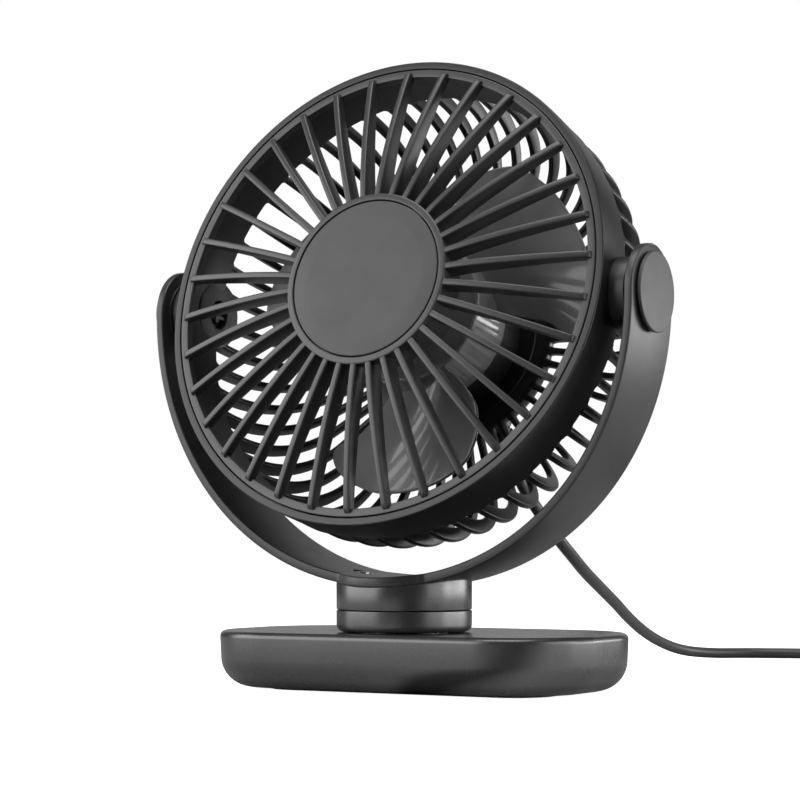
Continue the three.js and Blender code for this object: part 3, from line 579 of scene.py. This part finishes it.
def make_band():
    right = yoke_stations()
    floor = PIVOT_Z - YOKE_RZ
    bottom = (Vector((0, floor)), Vector((0, floor + YOKE_T_LOW)), NECK_R)
    left = [mirrored_station(station) for station in reversed(right)]
    sections = [band_section(*station) for station in right + [bottom] + left]
    recesses = [moved(rod(3.5, YOKE_SCREW_SEAT, YOKE_SCREW_SEAT + 6.5), (x, 0, 0))
                for x in (-YOKE_SCREW_X, YOKE_SCREW_X)]
    bores = [moved(rod(radius, start, YOKE_RX + 1, about_x(side)), (0, 0, PIVOT_Z)) for side in (-1, 1)
             for radius, start in ((ARM_BORE_R, ARM_BOSS_START - 1), (ARM_SCREW_SEAT_R, ARM_SCREW_SEAT))]
    piece("yoke_band", lofted(sections), SATIN, "yoke", ["yoke"], cutters=recesses + bores)


def make_pivot(side, name):
    """One arm's boss, cap and friction washer, and the screw on its side of the yoke's floor."""
    arm_inside = YOKE_RX - YOKE_T + 0.1
    boss = softened([(ARM_BORE_R, ARM_BOSS_START, 0.1), (BOSS_R, ARM_BOSS_START, 0.2),
                     (BOSS_R, arm_inside, 0), (ARM_BORE_R, arm_inside, 0)], 5)
    piece(f"arm_boss_{name}", revolved(boss, about_x(side), 96), SATIN, "yoke", (),
          AT_PIVOT)
    plug_end, back = CAP_BACK - 0.8, CAP_BACK + 0.05
    cap = softened([(0, plug_end, 0), (CAP_PLUG_R, plug_end, 0.2), (CAP_PLUG_R, back, 0),
                    (CAP_R - 0.5, back, 0.2), (CAP_R, CAP_BACK + 0.5, 0.2), (CAP_R, CAP_FACE - 0.08, 0.55),
                    (0, CAP_FACE, 0)], 6, closed=False)
    piece(f"arm_cap_{name}", revolved(cap, about_x(side)), CAP, "yoke", [f"pivot_cap_{name}"],
          AT_PIVOT)
    washer = softened([(4.1, WASHER_START, 0.1), (WASHER_R, WASHER_START, 0.2), (WASHER_R, WASHER_END, 0.2),
                       (4.1, WASHER_END, 0.1)], 3)
    piece(f"arm_washer_{name}", revolved(washer, about_x(side), 64), BLACK, "head",
          [f"friction_washer_{name}"], AT_PIVOT)
    at_floor = Matrix.Translation((side * YOKE_SCREW_X, 0, YOKE_SCREW_SEAT + 1.4))
    screw(f"yoke_fastener_{name}", 3.2, 1.1, 1.5, 7, "yoke", f"yoke_screw_{name}", at_floor)


def make_neck_collar(segments=128):
    """The neck above the parting line: level below, and fitted to the yoke's curved floor above."""
    low, core_r = NECK_SPLIT + NECK_GAP, NECK_STEM_R
    angles = [2 * math.pi * k / segments for k in range(segments)]

    def level(r, z):
        return [about_z(r, low + z, a) for a in angles]

    def fitted(r, z):
        return [about_z(r, yoke_floor(NECK_R * math.cos(a)) + z, a) for a in angles]

    loops = [level(core_r, 0), level(NECK_R - 0.3, 0), level(NECK_R - 0.08, 0.08), level(NECK_R, 0.35),
             fitted(NECK_R, -0.5), fitted(NECK_R - 0.1, -0.12), fitted(NECK_R - 0.4, 0.1),
             fitted(core_r, 0.1)]
    piece("neck_collar", lofted(loops), BASE, "yoke", ["neck_upper"])


def make_yoke():
    make_band()
    make_pivot(1, "right")
    make_pivot(-1, "left")
    make_neck_collar()


# ---------- head ----------
def bar_section(inner, outer, half, rounding, angle, steps=3):
    """A radial bar's section between an inner and an outer (radius, distance ahead), at an angle."""
    inner, outer = Vector(inner), Vector(outer)
    run = outer - inner
    length = run.length
    run.normalize()
    c = min(rounding, half * 0.95, length * 0.45)
    loop = []
    for quarter, (su, sv) in enumerate(((1, 1), (-1, 1), (-1, -1), (1, -1))):
        for i in range(steps + 1):
            a = (quarter + i / steps) * math.pi / 2
            u = su * (half - c) + c * math.cos(a)
            v = sv * (length / 2 - c) + c * math.sin(a) + length / 2
            r, s = inner + run * v
            loop.append(Vector((r * math.cos(angle) - u * math.sin(angle), -s,
                                r * math.sin(angle) + u * math.cos(angle))))
    return loop


def cage_stations():
    """Each fin's inner and outer points and half width, from inside the wall to inside the rear disc."""
    stations = []
    for t in (-1.5, 0.0, 0.15, 0.4, 0.8, 1.3, 1.8, 3.0):
        to_flare_end = min(FIN_FLARE, max(0.0, FIN_FLARE - max(t, 0)))
        half = FIN_HALF + FIN_FLARE - math.sqrt(FIN_FLARE ** 2 - to_flare_end ** 2)
        s = WALL_REAR - t
        stations.append(((FIN_INSIDE_R, s), (WALL_R, s), half))
    # the shoulder, from the end of the straight stretch round to the flat back
    turn_r, turn_s, steps, fullness = 50, -5, 18, 0.88
    for k in range(steps + 1):
        a = math.pi / 2 * k / steps
        out, back = max(0.0, math.cos(a)) ** fullness, math.sin(a) ** fullness
        inner = (turn_r + (FIN_INSIDE_R - turn_r) * out, turn_s + (DISC_FRONT - turn_s) * back)
        outer = (turn_r + (WALL_R - turn_r) * out, turn_s + (DISC_REAR - turn_s) * back)
        stations.append((inner, outer, FIN_HALF))
    for r, more in ((44, 0), (38, 0), (35.5, 0.05), (34.5, 0.2), (33.5, 0.5), (32, 0.9)):
        stations.append(((r, DISC_FRONT), (r, DISC_REAR), FIN_HALF + more))
    return stations


def make_wall():
    wall = softened([(DUCT_R, WALL_REAR, 0.4), (WALL_R, WALL_REAR, 0.5), (RIM_R, 12.0, 0),
                     (RIM_R, RIM_FRONT, 0.45), (SEAT_R, RIM_FRONT, 0.25), (SEAT_R, SEAT_BOTTOM, 0),
                     (DUCT_R, SEAT_BOTTOM, 0)], 6)
    holes = [rod(5, 60, 77, about_x(side), 40) for side in (1, -1)]
    piece("housing_wall", revolved(wall, about_head, 208), HOUSING, "head",
          ["rear_housing"], HEAD, holes)


def make_cage():
    bars = [lofted([bar_section(inner, outer, half, 0.6, 2 * math.pi * k / FINS)
                    for inner, outer, half in cage_stations()]) for k in range(FINS)]
    piece("cage_fins", joined(*bars), HOUSING, "head", (), HEAD)
    # the disc in the middle, with a low round ridge on either face
    disc = softened([(3, DISC_REAR, 0.2), (27.0, DISC_REAR, 0), (27.4, DISC_REAR - 0.6, 0.2),
                     (28.6, DISC_REAR - 0.6, 0.2), (29, DISC_REAR, 0), (DISC_R, DISC_REAR, 0.5),
                     (DISC_R, DISC_FRONT, 0.5), (28.6, DISC_FRONT, 0), (28.4, DISC_FRONT + 0.5, 0.2),
                     (27.6, DISC_FRONT + 0.5, 0.2), (27.4, DISC_FRONT, 0), (3, DISC_FRONT, 0)], 4)
    piece("cage_disc", revolved(disc, about_head, 104), HOUSING, "head", (), HEAD)


def make_pivot_bosses():
    for side, name in ((1, "right"), (-1, "left")):
        boss = softened([(4.6, BOSS_START, 0.25), (BOSS_R, BOSS_START, 0.3), (BOSS_R, BOSS_END, 0.2),
                         (4, BOSS_END, 0.1), (4, BOSS_SHOULDER, 0), (2.7, BOSS_SHOULDER, 0),
                         (2.7, BOSS_SCREW_SEAT, 0), (4.6, BOSS_SCREW_SEAT, 0.1)], 5)
        piece(f"housing_boss_{name}", revolved(boss, about_x(side), 96), SATIN, "head", (),
              HEAD)


def rib_share(r):
    """How far out along the ribs a radius lies, from 0 at the hub to 1 at their ends."""
    return min(1.0, max(0.0, (r - HUB_R) / (RIB_OUT - HUB_R)))


def dome(r):
    """How far the grille's ribs stand ahead of the tilt axis, at a radius."""
    return RIB_LOW + (RIB_HIGH - RIB_LOW) * (1 - rib_share(r) ** DOME_FULLNESS)


def make_grille():
    seat, ring_r = SEAT_BOTTOM - 0.02, 72.35
    ring = softened([(DUCT_R, seat, 0), (ring_r, seat, 0), (ring_r, RIM_FRONT, 0.3),
                     (DUCT_R, RIM_FRONT, 0.3)], 4)
    hub = softened([(0, 20, 0), (23, 20, 0), (23.2, 9.6, 0.3), (24.6, 9.6, 0.4), (27.1, 22, 0),
                    (27.6, 24.7, 0.6), (25.3, 24.9, 0.35), (25.3, 22.2, 0), (0, 22.2, 0)], 5, closed=False)
    parts = [revolved(ring, about_head, 204), revolved(hub, about_head, 136)]
    parts += [rib(2 * math.pi * (k + 0.5) / RIBS) for k in range(RIBS)]
    piece("grille_bars", joined(*parts), GRILLE, "head", ["front_grille"], HEAD)
    badge = softened([(0, BADGE_BACK, 0), (BADGE_R, BADGE_BACK, 0), (BADGE_R, HUB_FACE - 0.4, 0.35),
                      (20, HUB_FACE - 0.1, 6), (0, HUB_FACE, 0)], 5, closed=False)
    piece("hub_disc", revolved(badge, about_head, 160), BADGE, "head", ["hub_badge"], HEAD)


def rib(angle, steps=18, end_steps=8):
    """One rib of the grille, deep at the hub and shallow at the ring, with its outer end rounded over."""
    end_r = 1.3
    bend = RIB_OUT - end_r
    deep, shallower = 7.2, 3.8
    radii = [RIB_IN + (bend - RIB_IN) * k / steps for k in range(steps + 1)]
    radii += [bend + end_r * math.sin(math.pi / 2 * k / end_steps) for k in range(1, end_steps + 1)]
    loops = []
    for r in radii:
        drop = end_r - math.sqrt(max(0.0, end_r ** 2 - max(0.0, r - bend) ** 2))
        back = dome(r) - deep + shallower * rib_share(r)
        loops.append(bar_section((r, back), (r, dome(r) - drop), RIB_HALF, 0.4, angle))
    return lofted(loops)


def cord_boot():
    """The ribbed relief round the cord, standing on the origin with the cord leaving upwards."""
    grooves, spacing, first = 5, 2.3, 2.2
    outline = [(0, -2.5, 0), (3.9, -2.5, 0.2), (3.9, 1.2, 0.4)]
    for k in range(grooves):
        low = first + spacing * k
        r = 3.5 - 0.2 * k
        outline += [(r - 0.6, low, 0.15), (r - 0.6, low + 0.8, 0.15)]
        outline += [(r, low + 0.9, 0.2), (r - 0.1, low + 2.1, 0.2)]
    outline += [(2.3, 14, 0.3), (0, 14, 0)]
    return revolved(softened(outline, 3, closed=False), about_z, 40)


def make_rear_cover():
    seat, button_r = DISC_REAR - 0.3, 6.95
    shell = softened([(0, -46.7, 0), (24.4, -46.7, 0), (27.4, -44.5, 0.5), (28.6, seat, 0),
                      (COVER_R, seat, 0.3), (COVER_R, -43.5, 1.5), (28.9, -46.8, 1.5),
                      (25.4, COVER_REAR, 1.5), (0, COVER_REAR, 0)], 6, closed=False)
    angles = [math.radians(90 + 120 * k) for k in range(3)]
    spots = [Vector((COVER_SCREW_AT * math.cos(a), 0, COVER_SCREW_AT * math.sin(a))) for a in angles]
    wells = [moved(rod(2.4, COVER_REAR - 1.5, COVER_REAR + 1.5, about_head), spot) for spot in spots]
    button_hole = rod(button_r + 0.35, COVER_REAR - 1.5, COVER_REAR + 2.5, about_head, 64)
    piece("cover_shell", revolved(shell, about_head, 144), HOUSING, "head", ["rear_cover"],
          HEAD, [button_hole, *wells])
    for k, spot in enumerate(spots):
        place = Matrix.Translation(spot + Vector((0, 48.0, 0))) @ Matrix.Rotation(-math.pi / 2, 4, "X")
        screw(f"cover_fastener_{k + 1}", 2.1, 0.8, 1.0, 5, "head", None, HEAD @ place)

    aim = Vector((0.15, 0.62, -0.77)).normalized()
    turn = Vector((0, 0, 1)).rotation_difference(aim).to_matrix().to_4x4()
    piece("cord_boot", cord_boot(), CORD, "head", ["cord_relief"],
          HEAD @ Matrix.Translation((14.2, 44, -25.1)) @ turn)
    button = softened([(0, -46.2, 0), (3, -46.2, 0), (3, -47.9, 0), (button_r, -47.9, 0.1),
                       (button_r, -49.9, 0.6), (5.3, -49.9, 0.3), (4.9, -49.7, 0.2), (0, -49.7, 0)],
                      5, closed=False)
    piece("button_cap", revolved(button, about_head, 96), CAP, "speed_button",
          ["speed_button"], HEAD)


# ---------- impeller ----------
# (radius, lower edge, upper edge) of a blade, the edges in degrees from its middle
BLADE_EDGES = [(23, -26, 36), (30, -29, 40), (41, -32.5, 40.5), (48, -38.5, 36), (52.5, -38.5, 31),
               (55.7, -29, 24.5), (57.3, -11, 12)]


def blade_span(r):
    """The blade's lower and upper edge at a radius, on smooth curves through BLADE_EDGES."""
    points = [Vector(p) for p in BLADE_EDGES]
    k = max(i for i in range(len(points) - 1) if points[i].x <= r + 1e-6)
    a, b, c, d = (points[min(max(i, 0), len(points) - 1)] for i in (k - 1, k, k + 1, k + 2))
    t = (r - b.x) / (c.x - b.x)
    slope_b, slope_c = ((q - p) / max(q.x - p.x, 1e-6) * (c.x - b.x) for p, q in ((a, c), (b, d)))
    edge = (b * (2 * t ** 3 - 3 * t * t + 1) + slope_b * (t ** 3 - 2 * t * t + t)
            + c * (3 * t * t - 2 * t ** 3) + slope_c * (t ** 3 - t * t))
    return edge.y, edge.z


def rounded_over(t):
    """The height of a quarter circle: 0 at an edge, 1 from where t reaches 1."""
    return math.sqrt(max(0.0, 1 - (1 - min(1.0, t)) ** 2))


def blade(first, rows=40, columns=40):
    """A pitched, slightly bowed blade about an angle, with all its edges rounded over."""
    edge_r = 0.8
    radii = [BLADE_ROOT + (BLADE_TIP - BLADE_ROOT) * (1 - (1 - k / rows) ** 1.8) for k in range(rows + 1)]
    loops = []
    for r in radii:
        low, high = blade_span(r)
        middle, half = (low + high) / 2, (high - low) / 2
        front, rear = [], []
        for i in range(columns + 1):
            v = -math.cos(math.pi * i / columns)
            angle = middle + half * v
            to_side = (1 - abs(v)) * math.radians(half) * r
            to_tip = BLADE_TIP + 0.05 - r
            thick = BLADE_HALF_T * rounded_over(to_tip / edge_r) * rounded_over(to_side / edge_r)
            across = angle / BLADE_HALF_ANGLE
            s = BLADE_S + BLADE_PITCH * across + BLADE_BOW * math.cos(across * math.pi / 2)
            front.append(about_head(r, s + thick, math.radians(first + angle)))
            rear.append(about_head(r, s - thick, math.radians(first + angle)))
        loops.append(front + rear[::-1])
    return lofted(loops)


def make_impeller():
    wall, rear, front = MOTOR_CUP_R - 1.8, -22.5, -3.5
    cup = softened([(1.4, front - 1.8, 0), (wall, front - 1.8, 0.5), (wall, rear, 0.2),
                    (MOTOR_CUP_R, rear, 0.3), (MOTOR_CUP_R, front, 1.6), (16.2, front, 0),
                    (15.2, front + 0.9, 0.4), (1.4, front + 0.9, 0.3)], 8)
    parts = [revolved(cup, about_head, 160)]
    parts += [blade(FIRST_BLADE + 360 * k / BLADES) for k in range(BLADES)]
    piece("rotor", joined(*parts), SMOKED, "impeller", ["impeller"], HEAD)


# ---------- stage ----------
LAMPS_AIM = Vector((0, 0, 0.1))  # in metres, as all of a lamp's sizes are
FLOOR_HALF = 6000
# (share of a turn, tone) of the floor as reflections see it: a painted reflection, dark in one direction (a
# narrow wedge on the camera's side) and pale beside it, which paints a dark band and bright patches into the
# base's gloss
FLOOR_SHEEN = [(0.0, 0.42), (0.29, 0.66), (0.335, 0.03), (0.385, 0.03), (0.44, 1.0), (0.7, 0.42)]
FLOOR_SEEN, FLOOR_LIT, WORLD_SHEEN, WORLD_LIT = 0.985, 0.15, 0.03, 0.01


def panel(name, turn, height, distance, size, radiance):
    """A soft box. turn and height are its azimuth right of the camera's and its elevation, in degrees."""
    a, e = VIEW_AZIMUTH + math.radians(turn), math.radians(height)
    back = Vector((math.sin(a) * math.cos(e), -math.cos(a) * math.cos(e), math.sin(e)))
    light = bpy.data.lights.new(name, "AREA")
    light.shape, light.size, light.size_y = "RECTANGLE", size[0], size[1]
    light.energy = radiance * math.pi * size[0] * size[1]
    lamp = bpy.data.objects.new(name, light)
    lamp.location = LAMPS_AIM + back * distance
    lamp.visible_camera = False
    lamp.rotation_mode = "QUATERNION"
    lamp.rotation_quaternion = back.to_track_quat("Z", "Y")
    bpy.context.scene.collection.objects.link(lamp)


def split_by_ray(tree, seen, mirrored, lighting, surface_input):
    """One shader for the camera, one for reflections and one for other light, so that the white
    backdrop doesn't light the fan."""
    kinds = ("LightPath", "MixShader", "MixShader")
    path, outer, inner = (tree.nodes.new("ShaderNode" + kind) for kind in kinds)
    tree.links.new(path.outputs["Is Glossy Ray"], inner.inputs["Fac"])
    tree.links.new(lighting.outputs[0], inner.inputs[1])
    tree.links.new(mirrored.outputs[0], inner.inputs[2])
    tree.links.new(path.outputs["Is Camera Ray"], outer.inputs["Fac"])
    tree.links.new(inner.outputs["Shader"], outer.inputs[1])
    tree.links.new(seen.outputs[0], outer.inputs[2])
    tree.links.new(outer.outputs["Shader"], surface_input)


def floor_material():
    material = bpy.data.materials.new("floor")
    material.use_nodes = True
    tree = material.node_tree
    pale = tree.nodes["Principled BSDF"]
    pale.inputs["Base Color"].default_value = (0.8, 0.8, 0.8, 1)
    pale.inputs["Roughness"].default_value = 0.95
    pale.inputs["Specular IOR Level"].default_value = 0.0
    pale.inputs["Emission Color"].default_value = (1, 1, 1, 1)
    pale.inputs["Emission Strength"].default_value = FLOOR_SEEN
    dim = tree.nodes.new("ShaderNodeBsdfDiffuse")
    dim.inputs["Color"].default_value = (FLOOR_LIT, FLOOR_LIT, FLOOR_LIT, 1)
    # painted reflection: for reflected rays the floor's tone turns with direction round the fan, after
    # FLOOR_SHEEN
    sheen = tree.nodes.new("ShaderNodeBsdfDiffuse")
    kinds = ("TexCoord", "TexGradient", "ValToRGB")
    where, around, tone = (tree.nodes.new("ShaderNode" + kind) for kind in kinds)
    around.gradient_type = "RADIAL"
    stops = tone.color_ramp.elements
    while len(stops) < len(FLOOR_SHEEN):
        stops.new(0.5)
    for stop, (position, level) in zip(stops, FLOOR_SHEEN):
        stop.position = position
        stop.color = (level, level, level, 1)
    tree.links.new(where.outputs["Object"], around.inputs["Vector"])
    tree.links.new(around.outputs["Color"], tone.inputs["Fac"])
    tree.links.new(tone.outputs["Color"], sheen.inputs["Color"])
    split_by_ray(tree, pale, sheen, dim, tree.nodes["Material Output"].inputs["Surface"])
    return material


def make_world():
    world = bpy.data.worlds.new("studio")
    world.use_nodes = True
    tree = world.node_tree
    white = tree.nodes["Background"]
    soft, glow = (tree.nodes.new("ShaderNodeBackground") for _ in range(2))
    for light in (white, soft, glow):
        light.inputs["Color"].default_value = (1, 1, 1, 1)
    soft.inputs["Strength"].default_value = WORLD_LIT
    glow.inputs["Strength"].default_value = WORLD_SHEEN
    split_by_ray(tree, white, glow, soft, tree.nodes["World Output"].inputs["Surface"])
    bpy.context.scene.world = world
    bpy.context.scene.view_settings.view_transform = "Standard"


def make_stage():
    corners = [(x * FLOOR_HALF, y * FLOOR_HALF, 0) for x, y in ((-1, -1), (1, -1), (1, 1), (-1, 1))]
    link("floor", mesh_of("floor", (corners, [[0, 1, 2, 3]])), floor_material())
    make_world()
    panel("left", -80, 14, 1.1, (1.5, 1.0), 3.2)
    panel("right", 98, 6, 1.0, (1.2, 0.7), 0.8)
    panel("right_low", 98, -1, 1.0, (1.0, 0.3), 5.0)
    panel("right_front", 60, 10, 1.0, (0.8, 0.8), 2.3)
    panel("top", -25, 76, 1.1, (0.9, 0.9), 4.0)
    panel("back", 178, 14, 1.4, (1.4, 0.7), 0.5)


# ---------- assembly ----------
make_camera()
make_cord()
make_base()
make_yoke()
make_wall()
make_cage()
make_pivot_bosses()
make_grille()
make_rear_cover()
make_impeller()
for node, material in PLAIN_NODES.items():
    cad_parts[node].material_slots[0].material = material
make_stage()
